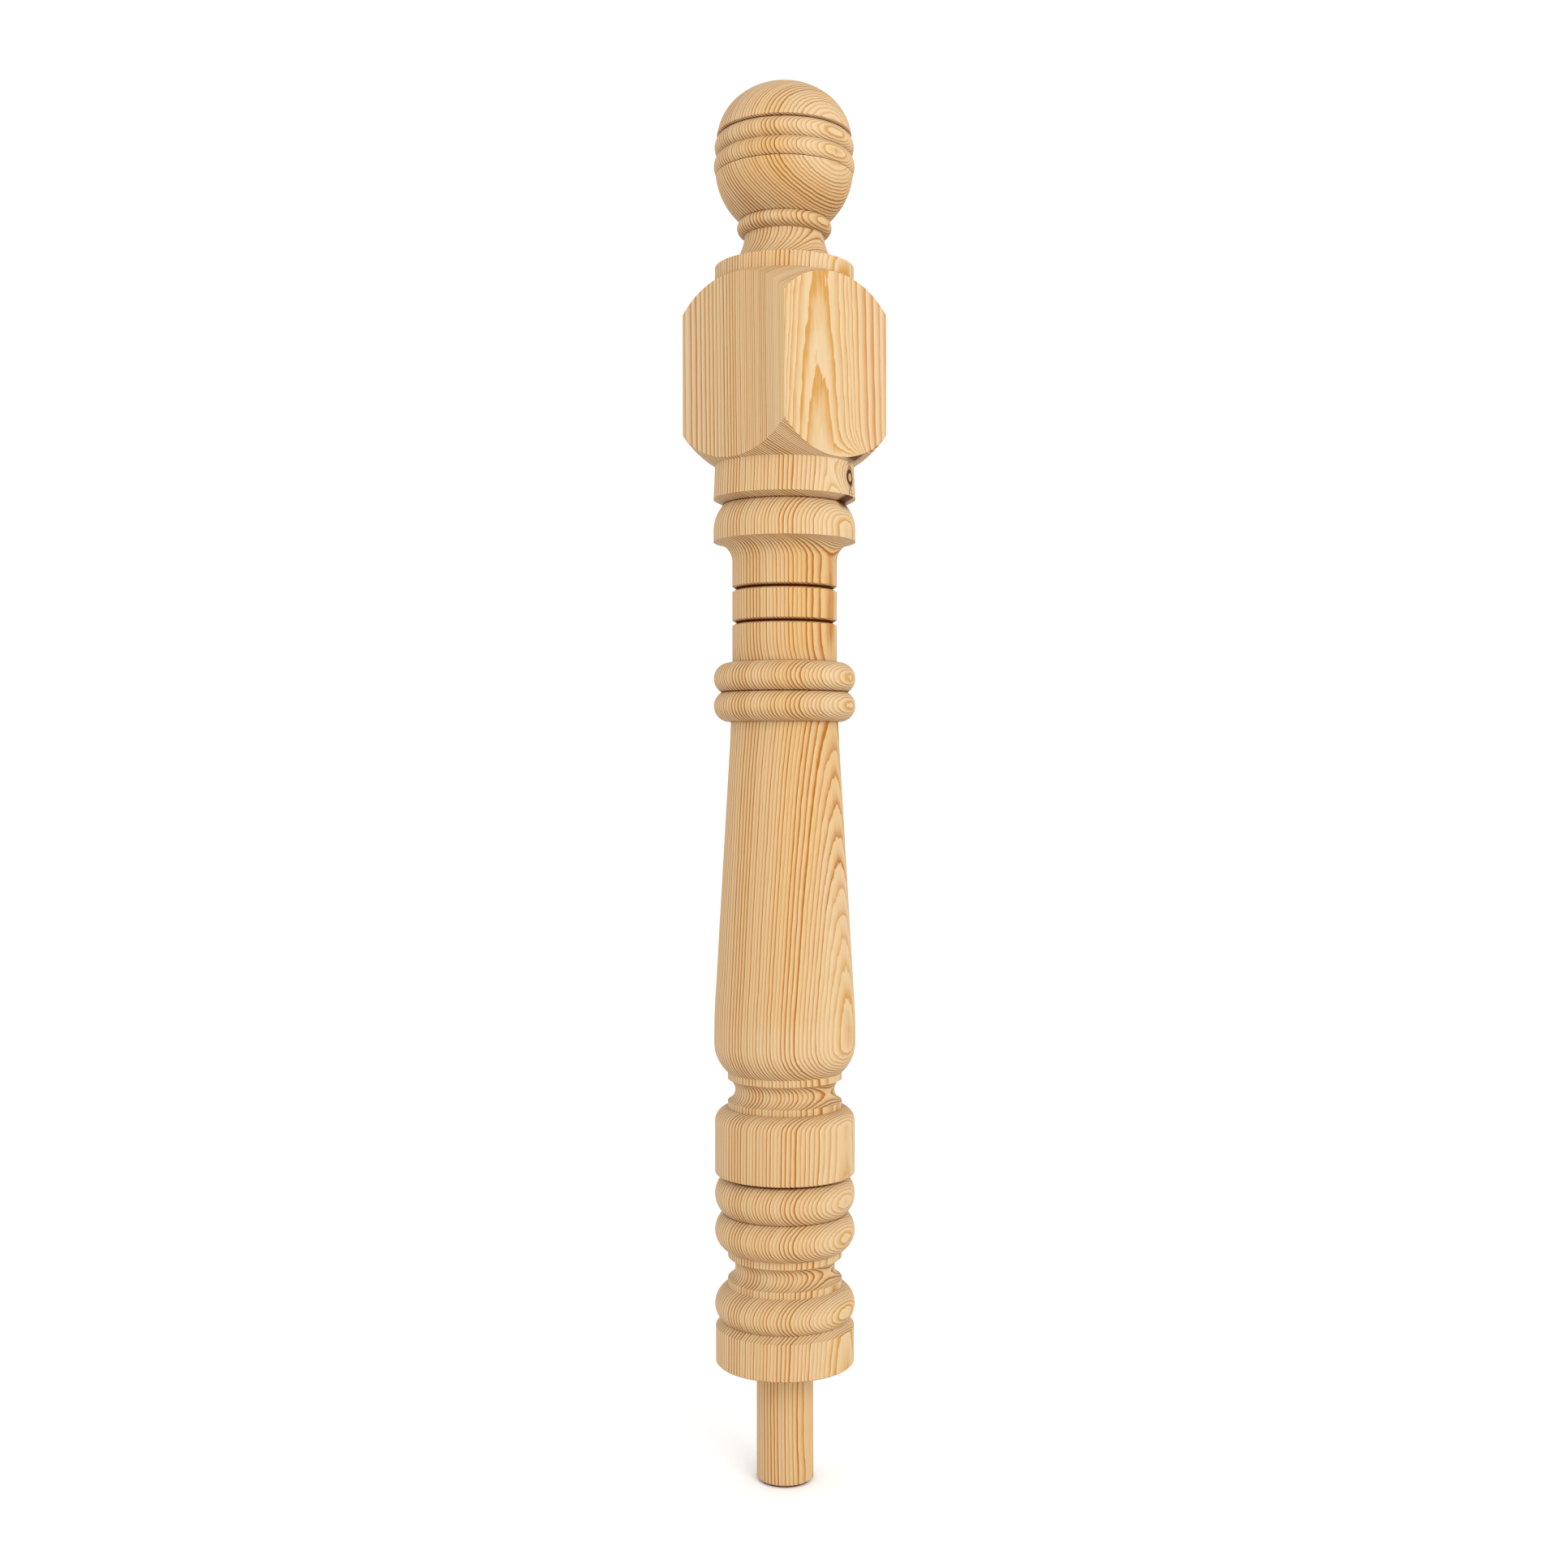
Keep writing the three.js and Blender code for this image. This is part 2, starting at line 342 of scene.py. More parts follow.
def post_faces(row_count, tip, crown):
    faces = []
    for row in range(row_count - 1):
        for column in range(SEGMENTS):
            a = row * SEGMENTS + column
            b = row * SEGMENTS + (column + 1) % SEGMENTS
            faces.append((a, b, b + SEGMENTS, a + SEGMENTS))
    last = (row_count - 1) * SEGMENTS
    for column in range(SEGMENTS):
        after = (column + 1) % SEGMENTS
        faces.append((tip, after, column))
        faces.append((last + column, last + after, crown))
    return faces


def smooth_but_for_edges(mesh):
    bm = bmesh.new()
    bm.from_mesh(mesh)
    for face in bm.faces:
        face.smooth = True
    for edge in bm.edges:
        edge.smooth = edge.calc_face_angle(0.0) < SHARP_ANGLE
    bm.to_mesh(mesh)
    bm.free()


def make_post():
    rows, tip_height, crown_height = post_rows()
    angles = np.arange(SEGMENTS) * 2 * math.pi / SEGMENTS
    corners = [np.stack([r * np.cos(angles), r * np.sin(angles), z], axis=1) for r, z in rows]
    ends = [[0, 0, tip_height], [0, 0, crown_height]]
    corners = np.concatenate(corners + [ends]) * MM
    tip, crown = len(corners) - 2, len(corners) - 1
    mesh = bpy.data.meshes.new("turned_post")
    mesh.from_pydata(corners.tolist(), [], post_faces(len(rows), tip, crown))
    smooth_but_for_edges(mesh)
    post = bpy.data.objects.new("turned_post", mesh)
    bpy.context.scene.collection.objects.link(post)
    return post


class Shader:
    """Adds nodes to a material by short calls. Each call but node returns the new node's output."""

    def __init__(self, material):
        self.tree = material.node_tree
        self.links = self.tree.links

    def node(self, kind, inputs=(), **settings):
        made = self.tree.nodes.new(kind)
        for name, value in settings.items():
            setattr(made, name, value)
        for name, value in dict(inputs).items():
            self.feed(made.inputs[name], value)
        return made

    def feed(self, socket, value):
        if isinstance(value, bpy.types.NodeSocket):
            self.links.new(value, socket)
        else:
            socket.default_value = value

    def math(self, operation, *values, clamp=False):
        made = self.node("ShaderNodeMath", enumerate(values), operation=operation, use_clamp=clamp)
        return made.outputs[0]

    def product(self, first, *others):
        for other in others:
            first = self.math("MULTIPLY", first, other)
        return first

    def centred(self, value, size):
        """Turns a noise of 0 to 1 into one that swings evenly about nought, as wide as the size."""
        return self.math("MULTIPLY", self.math("SUBTRACT", value, 0.5), size)

    def vector(self, operation, *values):
        return self.node("ShaderNodeVectorMath", enumerate(values), operation=operation).outputs[0]

    def measure(self, operation, *values):
        """A single number worked out from vectors."""
        made = self.node("ShaderNodeVectorMath", enumerate(values), operation=operation)
        return made.outputs["Value"]

    def scaled(self, vector, factor):
        return self.node("ShaderNodeVectorMath", {0: vector, "Scale": factor}, operation="SCALE").outputs[0]

    def up_part(self, vector):
        return self.node("ShaderNodeSeparateXYZ", {0: vector}).outputs[2]

    def ramp(self, value, low, high, start=0.0, end=1.0, smooth=True):
        kind = "SMOOTHSTEP" if smooth else "LINEAR"
        inputs = {"Value": value, "From Min": low, "From Max": high, "To Min": start, "To Max": end}
        return self.node("ShaderNodeMapRange", inputs, interpolation_type=kind).outputs[0]

    def fade(self, value, low, high, top=1.0):
        return self.ramp(value, low, high, top, 0.0)

    def band(self, value, rise, fall):
        """One between the end of the rise and the start of the fall, and nought beyond them."""
        return self.product(self.ramp(value, *rise), self.fade(value, *fall))

    def noise(self, vector, scale, detail=2.0, roughness=0.5):
        inputs = {"Vector": vector, "Scale": scale, "Detail": detail, "Roughness": roughness}
        return self.node("ShaderNodeTexNoise", inputs).outputs["Fac"]

    def mix(self, factor, first, second, blend="MIX"):
        made = self.node("ShaderNodeMix", data_type="RGBA", blend_type=blend)
        self.feed(made.inputs[0], factor)
        self.feed(made.inputs[6], first)
        self.feed(made.inputs[7], second)
        return made.outputs[2]

    def curve(self, value, points):
        made = self.node("ShaderNodeFloatCurve", {"Value": value})
        curve = made.mapping.curves[0]
        curve.points[0].location = points[0]
        curve.points[1].location = points[-1]
        for point in points[1:-1]:
            curve.points.new(*point)
        made.mapping.update()
        return made.outputs[0]


# Where the pith of the log runs, beside the post: height, and place across the post, in millimetres
PITH_PATH = [
    (-75, -60.0, -17.5),
    (-10, -60.4, -17.2),
    (20, -59.8, -16.6),
    (46, -59.3, -16.0),
    (92, -58.2, -15.5),
    (140, -57.3, -14.2),
    (212, -57.8, -17.8),
    (308, -58.4, -17.3),
    (396, -57.6, -17.6),
    (410, -56.4, -20.4),
    (432, -56.2, -20.8),
    (448, -57.8, -17.6),
    (476, -58.0, -17.3),
    (510, -58.0, -16.2),
    (536, -58.2, -15.6),
    (572, -58.6, -15.0),
    (616, -59.2, -15.0),
    (645, -59.6, -15.0),
    (680, -59.65, -14.5),
    (702, -57.3, -12.0),
    (744, -60.6, -2.0),
    (800, -60.4, 0.0),
]
PITH_REACH = 80.0
LOWEST, HIGHEST = PITH_PATH[0][0], PITH_PATH[-1][0]

# The heart, the first wide rings round the pith. Distances in the lists below are counted from its edge.
HEART_RADIUS = 17.0
HEART_RING = 2.4

# The growth rings: distance in millimetres, and the ring's number there
RINGS = [
    (0, 0.0),
    (12, 3.3),
    (24, 7.0),
    (38.3, 12.0),
    (50.7, 17.0),
    (61.3, 23.0),
    (67.7, 27.0),
    (72.0, 30.0),
    (78.0, 34.0),
    (87.2, 43.0),
    (88.1, 44.0),
    (89.2, 45.0),
    (90.1, 46.0),
    (90.8, 47.0),
    (91.7, 48.0),
    (93.1, 49.0),
    (95.7, 50.0),
    (98.4, 51.0),
    (100.9, 52.0),
    (103.5, 53.0),
    (110, 55.0),
]
RING_REACH = 110.0
RING_TOP = 70.0

# How dark the late wood is, by distance
BOLDNESS = [
    (0, 1.0),
    (32.0, 1.05),
    (46.0, 1.4),
    (49.0, 1.4),
    (50.6, 1.9),
    (52.2, 1.3),
    (60.2, 1.1),
    (61.2, 1.6),
    (62.4, 1.0),
    (66.6, 1.0),
    (67.6, 1.6),
    (69.0, 0.85),
    (70.5, 1.0),
    (72.0, 1.6),
    (74.0, 1.1),
    (75.6, 1.2),
    (76.4, 1.8),
    (77.4, 1.1),
    (79.5, 0.9),
    (84.0, 0.9),
    (86.0, 1.05),
    (92.0, 1.05),
    (94.0, 1.2),
    (110, 1.2),
]
BOLDNESS_TOP = 2.0

# How honey-coloured the wood is, by distance
WARMTH = [
    (0, 0.35),
    (30, 0.3),
    (50, 0.45),
    (62, 0.7),
    (67, 0.9),
    (71, 1.0),
    (77, 1.0),
    (80, 0.7),
    (84, 0.3),
    (98, 0.2),
    (110, 0.3),
]

# How much of the honey colour shows at each height. The dip from 176 to 222 is painted light on the foot of
# the shaft
HONEY_AND_PAINTED_LIGHT = [
    (-75, 0.7),
    (-5, 0.7),
    (5, 0.35),
    (140, 0.35),
    (176, 0.35),
    # Painted light: the downward-facing foot of the shaft is painted paler, standing in for light from below
    (186, 0.1),
    (204, 0.1),
    (222, 0.45),
    (240, 0.5),
    (395, 0.6),
    (404, 0.5),
    (438, 0.5),
    (447, 0.75),
    (500, 0.7),
    (520, 0.3),
    (700, 0.35),
    (720, 0.6),
    (748, 0.55),
    (766, 0.2),
    (800, 0.2),
]
HONEY_TOP = 1.2

# The sapwood, outside the heartwood, has softer-edged rings that waver more
SAPWOOD_EDGE = (84.0, 88.0)
RING_SHARPNESS = (2.8, 1.9)
RIPPLE_HEIGHTS = (0.5, 0.65)
RIPPLE_SCALE = 0.35
WAVE_HEIGHT = 0.6
WAVE_SCALE = 0.06
WAVE_STRETCH = 0.16

# Each ring ends in a sharp edge, and is darker or paler by chance
RING_EDGE = 0.93
LEAST_DARKNESS = 0.75
CHANCE_OF_DARKNESS = 0.9

# End grain is told by how far the surface faces up or down. On undersides its rings are painted bolder than
# on topsides, which is painted shade
END_GRAIN_FACING = (0.05, 0.8)
UNDERSIDE_SHADE_FACING = (-0.1, 0.1)
TOPSIDE_SHADE_BOLDNESS = 0.2
END_GRAIN_DARKNESS = 0.75
END_GRAIN_TINT = 0.08

# Broad streaks of honey colour, and the fine fibre
STREAK_HEIGHT = 0.8
STREAK_SCALE = 0.06
STREAK_STRETCH = 0.05
FIBRE_SCALE = 1.6
FIBRE_DETAIL = 4.0
FIBRE_ROUGHNESS = 0.65
FIBRE_STRETCH = 0.03
FIBRE_RANGE = (0.3, 0.7)
FIBRE_TONES = (0.93, 1.05)
FIBRE_STRENGTH = 0.5

# The knot: a branch that runs out from the pith and shows on the collar. It pushes the rings outwards.
KNOT_PLACE = Vector((40.5, 16.3, 551.0))
PITH_AT_KNOT = Vector((-58.4, -15.2, KNOT_PLACE.z))
KNOT_RADIUS = 4.4
KNOT_FLATNESS = 0.95
KNOT_START = (20.0, 40.0)
SWELL_HEIGHT = -8.0
SWELL_FALL = -0.005
TEAR_HEIGHT = 3.0
TEAR_SCALE = 0.7
TEAR_STRETCH = 0.3
TEAR_DETAIL = 3.0
TEAR_ON_KNOT = 0.45

# The stain above the knot, the two cracks below it, and the torn grain on the surfaces over and under it
STAIN_SIDE = (2.0, 3.2)
STAIN_RISE = (2.0, 5.0)
STAIN_FALL = (13.0, 15.0)
STAIN_END = (103.5, 105.0)
STAIN_STRENGTH = 0.55
CRACK_SLOPE = -0.38
CRACK_START = -1.5
CRACK_SIDE = (0.3, 0.8)
CRACK_RISE = (-12.0, -10.0)
CRACK_FALL = (-4.0, -3.0)
CRACK_STRENGTH = 0.8
BURST_SIDE = (4.0, 10.0)
BURST_RISE = (9.0, 11.0)
BURST_FALL = (15.0, 20.0)
BURST_FACING = (0.0, 0.3)

# The knot's parts, as shares of its radius
HALO_EDGE = 1.7
HALO_STRENGTH = 0.5
KNOT_EDGE = 1.2
BARK_EDGE = (0.42, 0.66)
CORE_EDGE = (0.1, 0.2)
CORE_STRENGTH = 0.7

# Painted shade: the depths of the two rings cut into the neck are painted dark, as scorched wood and as
# painted shade, and all narrow grooves get painted shade, darker than the open faces
SCORCH_AND_SHADE_DEPTHS = (NECK_RADIUS - 2.2, NECK_RADIUS - 0.7)
SCORCH_AND_SHADE_FROM = (454.0, 456.0)
SCORCH_AND_SHADE_TO = (490.0, 492.0)
GROOVE_WIDTH = 2.5
GROOVE_SAMPLES = 8
GROOVE_OPENNESS = (0.36, 0.66)

# Sheen and relief
ROUGHNESS = 0.56
LATE_ROUGHNESS = -0.1
GLOSS = 0.05
FIBRE_RELIEF = 0.6
RELIEF_STRENGTH = 0.25
RELIEF_HEIGHT = 0.2


def colour(red, green, blue):
    """A colour given as the screen shows it, 0 to 255, as linear values."""
    linear = [((c / 255 + 0.055) / 1.055) ** 2.4 for c in (red, green, blue)]
    return (*linear, 1.0)


EARLY_WOOD = colour(198, 173, 136)
EARLY_WOOD_HONEY = colour(196, 157, 100)
LATE_WOOD = colour(164, 106, 42)
LATE_WOOD_HONEY = colour(150, 90, 20)
LATE_SAPWOOD = colour(182, 134, 70)
LATE_SAPWOOD_FROM = (82.0, 87.0)
LATE_WOOD_AT_EDGE = colour(178, 126, 76)
LATE_WOOD_AT_EDGE_FROM = (92.0, 95.0)
END_GRAIN = colour(122, 86, 56)
# Painted shade for narrow grooves, also the colour of the scorched depths of the ring cuts
GROOVE_SHADE = colour(133, 67, 17)
KNOT_HEART = colour(188, 152, 104)
KNOT_BARK = colour(58, 28, 0)
KNOT_STAIN = colour(122, 90, 50)
BURST = colour(84, 44, 0)


class Point:
    """A point of the wood, as sockets: its place and height, and how its surface faces."""

    def __init__(self, shader):
        coordinates = shader.node("ShaderNodeTexCoord")
        facing = shader.up_part(coordinates.outputs["Normal"])
        self.place = shader.scaled(coordinates.outputs["Object"], 1 / MM)
        self.height = shader.up_part(self.place)
        self.height_share = shader.ramp(self.height, LOWEST, HIGHEST, smooth=False)
        self.end_grain = shader.ramp(shader.math("ABSOLUTE", facing), *END_GRAIN_FACING)
        # Painted shade: one on undersides, falling to a small share on topsides
        self.underside_shade = shader.ramp(facing, *UNDERSIDE_SHADE_FACING, 1.0, TOPSIDE_SHADE_BOLDNESS)

    def along_grain(self, shader, stretch):
        """The place with its height shrunk, so that a noise is drawn out along the post."""
        return shader.vector("MULTIPLY", self.place, (1, 1, stretch))


class Knot:
    """Where a point lies seen from the branch: out along it, off its axis, and up and sideways from it."""

    def __init__(self, shader, point):
        along = (KNOT_PLACE - PITH_AT_KNOT).normalized()
        sideways = along.cross(Vector((0, 0, 1)))
        from_pith = shader.vector("SUBTRACT", point.place, tuple(PITH_AT_KNOT))
        self.reach = shader.measure("DOT_PRODUCT", from_pith, tuple(along))
        off_axis = shader.vector("SUBTRACT", from_pith, shader.scaled(tuple(along), self.reach))
        off_axis = shader.vector("MULTIPLY", off_axis, (1, 1, KNOT_FLATNESS))
        self.distance = shader.measure("LENGTH", off_axis)
        self.up = shader.measure("DOT_PRODUCT", off_axis, (0, 0, 1))
        self.side = shader.math("ABSOLUTE", shader.measure("DOT_PRODUCT", off_axis, tuple(sideways)))
        self.outwards = shader.ramp(self.reach, *KNOT_START)

        tear = shader.noise(point.along_grain(shader, TEAR_STRETCH), TEAR_SCALE, TEAR_DETAIL)
        tear = shader.centred(tear, TEAR_HEIGHT)
        self.ragged = shader.math("MULTIPLY_ADD", tear, TEAR_ON_KNOT, self.distance)
        self.ragged_side = shader.math("ADD", self.side, tear)

    def swell(self, shader):
        squared = shader.math("POWER", self.distance, 2.0)
        nearness = shader.math("EXPONENT", shader.product(squared, SWELL_FALL))
        return shader.product(nearness, self.outwards, SWELL_HEIGHT)

    def lay(self, shader, amount, wood, stain):
        """Lays a colour over the wood where the branch is, and not inside the log's heart."""
        return shader.mix(shader.product(amount, self.outwards), wood, stain)


def by_height(shader, point, points, top):
    """A value that changes with the height."""
    scaled = [((height - LOWEST) / (HIGHEST - LOWEST), value / top) for height, value in points]
    return shader.product(shader.curve(point.height_share, scaled), top)


def by_distance(shader, distance, points, top=1.0):
    """A value that changes with the distance from the heart."""
    share = shader.math("DIVIDE", distance, RING_REACH)
    scaled = [(place / RING_REACH, value / top) for place, value in points]
    return shader.product(shader.curve(share, scaled), top)


def heart_distance(shader, point):
    """How far a point is from the log's heart, with the slight waviness of real rings."""
    east = by_height(shader, point, [(height, x) for height, x, y in PITH_PATH], -PITH_REACH)
    north = by_height(shader, point, [(height, y) for height, x, y in PITH_PATH], -PITH_REACH)
    pith = shader.node("ShaderNodeCombineXYZ", {"X": east, "Y": north}).outputs[0]
    distance = shader.measure("DISTANCE", point.along_grain(shader, 0), pith)
    distance = shader.math("SUBTRACT", distance, HEART_RADIUS)

    wavy_place = point.along_grain(shader, WAVE_STRETCH)
    wave = shader.centred(shader.noise(wavy_place, WAVE_SCALE), WAVE_HEIGHT)
    distance = shader.math("ADD", distance, wave)
    ripple_height = shader.ramp(distance, *SAPWOOD_EDGE, *RIPPLE_HEIGHTS)
    ripple = shader.centred(shader.noise(wavy_place, RIPPLE_SCALE), ripple_height)
    return shader.math("ADD", distance, ripple)


def ring_number(shader, distance):
    """The growth ring with its part passed so far. It goes below nought inside the heart."""
    rings = by_distance(shader, distance, RINGS, RING_TOP)
    inside = shader.math("MINIMUM", distance, 0.0)
    return shader.math("ADD", rings, shader.math("DIVIDE", inside, HEART_RING))


def late_wood_share(shader, point, distance):
    """How much dark late wood a point has: it grows through each ring and ends at the ring's edge."""
    rings = ring_number(shader, distance)
    phase = shader.math("FRACT", rings)
    ring = shader.math("FLOOR", rings)
    late = shader.math("POWER", phase, shader.ramp(distance, *SAPWOOD_EDGE, *RING_SHARPNESS))
    late = shader.product(late, shader.fade(phase, RING_EDGE, 1.0))

    chance = shader.node("ShaderNodeTexWhiteNoise", {"W": ring}, noise_dimensions="1D").outputs["Value"]
    darkness = shader.math("MULTIPLY_ADD", chance, CHANCE_OF_DARKNESS, LEAST_DARKNESS)
    # End grain darkens the late wood, and on undersides more than on topsides, as painted shade
    end_grain_and_shade = shader.math("MULTIPLY_ADD", point.end_grain, point.underside_shade, 1.0)
    strength = shader.product(by_distance(shader, distance, BOLDNESS, BOLDNESS_TOP), darkness, end_grain_and_shade)
    return shader.math("MULTIPLY", late, strength, clamp=True)


def wood_colour(shader, point, distance, late, fibre):
    """The colour of clear wood, without knot or grooves."""
    honey_and_painted_light = by_height(shader, point, HONEY_AND_PAINTED_LIGHT, HONEY_TOP)
    warm = shader.product(by_distance(shader, distance, WARMTH), honey_and_painted_light)
    streaks = shader.noise(point.along_grain(shader, STREAK_STRETCH), STREAK_SCALE)
    warm = shader.math("ADD", warm, shader.centred(streaks, STREAK_HEIGHT), clamp=True)

    early = shader.mix(warm, EARLY_WOOD, EARLY_WOOD_HONEY)
    dark = shader.mix(warm, LATE_WOOD, LATE_WOOD_HONEY)
    dark = shader.mix(shader.ramp(distance, *LATE_SAPWOOD_FROM), dark, LATE_SAPWOOD)
    dark = shader.mix(shader.ramp(distance, *LATE_WOOD_AT_EDGE_FROM), dark, LATE_WOOD_AT_EDGE)
    dark = shader.mix(shader.product(point.end_grain, END_GRAIN_DARKNESS), dark, END_GRAIN)
    wood = shader.mix(late, early, dark)
    tone = shader.ramp(fibre, *FIBRE_RANGE, *FIBRE_TONES)
    wood = shader.mix(FIBRE_STRENGTH, wood, tone, "MULTIPLY")
    return shader.mix(shader.product(point.end_grain, END_GRAIN_TINT), wood, LATE_WOOD)


def add_knot_marks(shader, point, knot, wood):
    """The stain, the cracks and the torn grain round the knot."""
    stain = shader.fade(knot.ragged_side, *STAIN_SIDE, STAIN_STRENGTH)
    stain = shader.product(stain, shader.band(knot.up, STAIN_RISE, STAIN_FALL))
    stain = shader.product(stain, shader.fade(knot.reach, *STAIN_END))
    wood = knot.lay(shader, stain, wood, KNOT_STAIN)

    middle = shader.math("MULTIPLY_ADD", knot.up, CRACK_SLOPE, CRACK_START)
    off_middle = shader.math("ABSOLUTE", shader.math("SUBTRACT", knot.side, middle))
    crack = shader.fade(off_middle, *CRACK_SIDE, CRACK_STRENGTH)
    crack = shader.product(crack, shader.band(knot.up, CRACK_RISE, CRACK_FALL))
    wood = knot.lay(shader, crack, wood, KNOT_BARK)

    burst = shader.fade(knot.ragged_side, *BURST_SIDE)
    burst = shader.product(burst, shader.band(shader.math("ABSOLUTE", knot.up), BURST_RISE, BURST_FALL))
    burst = shader.product(burst, shader.ramp(point.end_grain, *BURST_FACING))
    return knot.lay(shader, burst, wood, BURST)


def add_knot(shader, knot, wood):
    """The knot itself: a dark core in pale wood, inside a ring of bark with a stained halo."""
    reach = shader.math("DIVIDE", knot.ragged, KNOT_RADIUS)
    wood = knot.lay(shader, shader.fade(reach, 1.0, HALO_EDGE, HALO_STRENGTH), wood, KNOT_STAIN)
    core = shader.fade(reach, *CORE_EDGE, CORE_STRENGTH)
    bark = shader.math("ADD", shader.ramp(reach, *BARK_EDGE), core, clamp=True)
    knot_wood = shader.mix(bark, KNOT_HEART, KNOT_BARK)
    return knot.lay(shader, shader.fade(reach, 1.0, KNOT_EDGE), wood, knot_wood)


# Painted shade: grooves found by ambient occlusion, and the depths of the two ring cuts, are painted darker
# with the groove shade; the ring cuts stand for scorched wood as well
def paint_groove_shade(shader, point, wood):
    from_axis = shader.measure("LENGTH", point.along_grain(shader, 0))
    scorch_and_shade = shader.fade(from_axis, *SCORCH_AND_SHADE_DEPTHS)
    scorch_and_shade = shader.product(scorch_and_shade, shader.band(point.height, SCORCH_AND_SHADE_FROM, SCORCH_AND_SHADE_TO))
    inputs = {"Distance": GROOVE_WIDTH * MM}
    openness = shader.node("ShaderNodeAmbientOcclusion", inputs, samples=GROOVE_SAMPLES).outputs["AO"]
    shade = shader.math("MAXIMUM", shader.fade(openness, *GROOVE_OPENNESS), scorch_and_shade)
    return shader.mix(shade, wood, shader.mix(1.0, wood, GROOVE_SHADE, "MULTIPLY"))


def add_relief(shader, late, fibre):
    height = shader.math("MULTIPLY_ADD", fibre, FIBRE_RELIEF, late)
    inputs = {"Height": height, "Strength": RELIEF_STRENGTH, "Distance": RELIEF_HEIGHT * MM}
    return shader.node("ShaderNodeBump", inputs).outputs[0]


def make_pine():
    """Pine whose rings run through the solid, so that every cut through them shows its own grain."""
    material = bpy.data.materials.new("pine")
    material.use_nodes = True
    shader = Shader(material)
    point = Point(shader)
    knot = Knot(shader, point)
    distance = shader.math("ADD", heart_distance(shader, point), knot.swell(shader))
    late = late_wood_share(shader, point, distance)
    fibre_place = point.along_grain(shader, FIBRE_STRETCH)
    fibre = shader.noise(fibre_place, FIBRE_SCALE, FIBRE_DETAIL, FIBRE_ROUGHNESS)

    wood = wood_colour(shader, point, distance, late, fibre)
    wood = add_knot_marks(shader, point, knot, wood)
    wood = add_knot(shader, knot, wood)
    wood = paint_groove_shade(shader, point, wood)

    surface = shader.tree.nodes["Principled BSDF"]
    shader.feed(surface.inputs["Base Color"], wood)
    shader.feed(surface.inputs["Roughness"], shader.math("MULTIPLY_ADD", late, LATE_ROUGHNESS, ROUGHNESS))
    shader.feed(surface.inputs["Specular IOR Level"], GLOSS)
    shader.feed(surface.inputs["Normal"], add_relief(shader, late, fibre))
    return material


# The camera stands as the photograph's did: a little below the shaft's top, facing a corner of the block
CAMERA_DISTANCE = 1.115
CAMERA_HEIGHT = 0.3753
FOCAL_PIXELS = 2192.0
PHOTO_SIDE = 1932.0
HORIZON_PIXEL = 940.0
SENSOR_WIDTH = 36.0
CAMERA_AZIMUTH = math.radians(45)
CAMERA_ROLL = math.radians(0.038)
CAMERA_OFFSET = 0.0004

# Floor and light, in metres and watts
FLOOR_REACH = 30.0
FLOOR_PAINT = (0.92, 0.92, 0.92, 1)
FLOOR_ROUGHNESS = 0.9
SKY_STRENGTH = 1.12
LIGHT_DISTANCE = 2.6
LIGHT_SIZE = 1.6
KEY_AZIMUTH, KEY_ELEVATION, KEY_POWER = 74, 24, 34
FILL_AZIMUTH, FILL_ELEVATION, FILL_POWER = -35, 20, 4.5


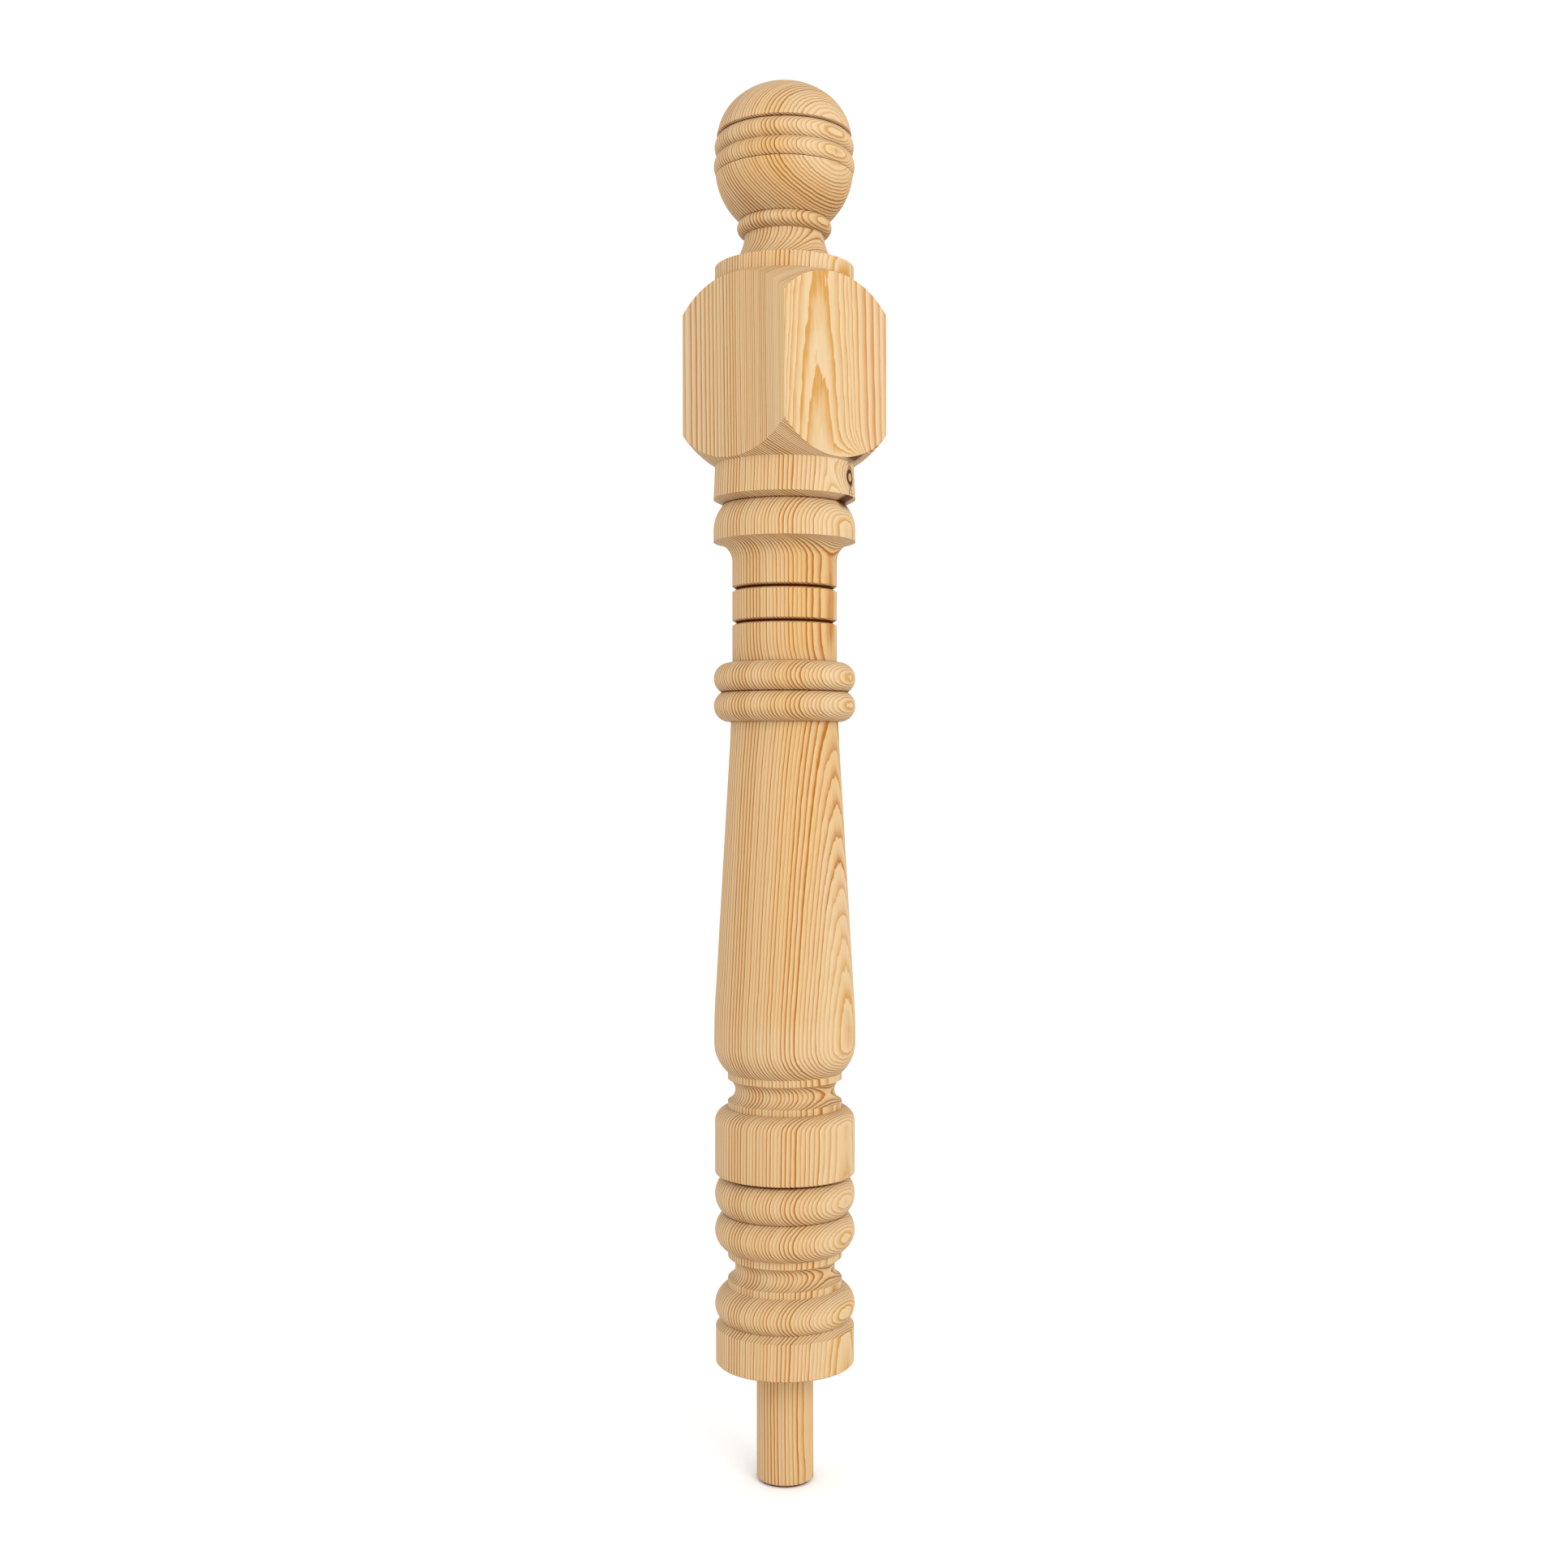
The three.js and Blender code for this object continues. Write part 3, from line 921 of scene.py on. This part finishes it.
def make_camera():
    data = bpy.data.cameras.new("camera")
    data.sensor_width = SENSOR_WIDTH
    data.lens = SENSOR_WIDTH * FOCAL_PIXELS / PHOTO_SIDE
    camera = bpy.data.objects.new("camera", data)
    outwards = Vector((math.sin(CAMERA_AZIMUTH), -math.cos(CAMERA_AZIMUTH), 0))
    rightwards = Vector((math.cos(CAMERA_AZIMUTH), math.sin(CAMERA_AZIMUTH), 0))
    upwards = Vector((0, 0, CAMERA_HEIGHT))
    camera.location = outwards * CAMERA_DISTANCE - rightwards * CAMERA_OFFSET + upwards
    pitch = math.atan((PHOTO_SIDE / 2 - HORIZON_PIXEL) / FOCAL_PIXELS)
    aim = Euler((math.pi / 2 - pitch, 0, CAMERA_AZIMUTH)).to_matrix()
    camera.rotation_euler = (aim @ Matrix.Rotation(-CAMERA_ROLL, 3, "Z")).to_euler()
    bpy.context.scene.collection.objects.link(camera)
    bpy.context.scene.camera = camera


def make_floor(height):
    low, high = -FLOOR_REACH, FLOOR_REACH
    corners = [(low, low, height), (high, low, height), (high, high, height), (low, high, height)]
    mesh = bpy.data.meshes.new("floor")
    mesh.from_pydata(corners, [], [(0, 1, 2, 3)])
    floor = bpy.data.objects.new("floor", mesh)
    material = bpy.data.materials.new("floor_paint")
    material.use_nodes = True
    paint = material.node_tree.nodes["Principled BSDF"]
    paint.inputs["Base Color"].default_value = FLOOR_PAINT
    paint.inputs["Roughness"].default_value = FLOOR_ROUGHNESS
    mesh.materials.append(material)
    bpy.context.scene.collection.objects.link(floor)


def make_light(name, azimuth, elevation, power):
    """A square soft box that looks at the middle of the post. Azimuths are counted as the camera's is."""
    data = bpy.data.lights.new(name, "AREA")
    data.size = LIGHT_SIZE
    data.energy = power
    light = bpy.data.objects.new(name, data)
    turn, lift = math.radians(azimuth), math.radians(elevation)
    level = Vector((math.sin(turn), -math.cos(turn), 0)) * math.cos(lift)
    outwards = level + Vector((0, 0, math.sin(lift)))
    light.location = outwards * LIGHT_DISTANCE + Vector((0, 0, CAMERA_HEIGHT))
    light.rotation_euler = outwards.to_track_quat("Z", "Y").to_euler()
    bpy.context.scene.collection.objects.link(light)


def make_surroundings():
    world = bpy.data.worlds.new("studio")
    world.use_nodes = True
    background = world.node_tree.nodes["Background"]
    background.inputs["Color"].default_value = (1, 1, 1, 1)
    background.inputs["Strength"].default_value = SKY_STRENGTH
    bpy.context.scene.world = world
    bpy.context.scene.view_settings.view_transform = "Standard"
    make_light("key", KEY_AZIMUTH, KEY_ELEVATION, KEY_POWER)
    make_light("fill", FILL_AZIMUTH, FILL_ELEVATION, FILL_POWER)


make_camera()
post = make_post()
post.data.materials.append(make_pine())
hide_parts("newel_post")
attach(post, "root")
make_floor(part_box("newel_post")[0].z)
make_surroundings()
